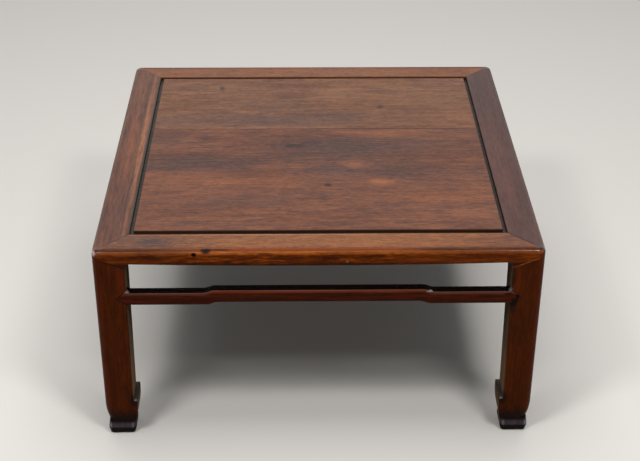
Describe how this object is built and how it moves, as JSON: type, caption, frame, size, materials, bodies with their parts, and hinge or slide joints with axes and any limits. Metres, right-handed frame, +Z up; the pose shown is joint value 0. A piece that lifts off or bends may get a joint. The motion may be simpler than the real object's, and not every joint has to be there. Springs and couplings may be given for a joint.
{
  "type": "kang table",
  "caption": "Low square table: mitred frame round a floating panel in a sunk channel, legs flush with the frame on inward hoof feet, humpback stretchers.",
  "frame": {"origin": "on the floor, below the middle of the top", "axes": "+X to the right seen from the front, +Y from front to back, +Z up; the front is the side with the wide board of the panel"},
  "size_m": [0.7, 0.703, 0.355],
  "materials": {
    "frame_wood": "satin, worn varnish",
    "panel_wood": "satin, worn varnish",
    "batten_wood": "bare wood",
    "leg_wood": "satin, worn varnish",
    "stretcher_wood": "satin, worn varnish"
  },
  "bodies": {
    "root": {"front_rail": "frame_wood", "back_rail": "frame_wood", "left_rail": "frame_wood", "right_rail": "frame_wood", "front_panel_board": "panel_wood", "back_panel_board": "panel_wood", "left_batten": "batten_wood", "right_batten": "batten_wood", "front_left_leg": "leg_wood", "front_right_leg": "leg_wood", "back_left_leg": "leg_wood", "back_right_leg": "leg_wood", "front_stretcher": "stretcher_wood", "back_stretcher": "stretcher_wood", "left_stretcher": "stretcher_wood", "right_stretcher": "stretcher_wood"}
  },
  "joints": []
}
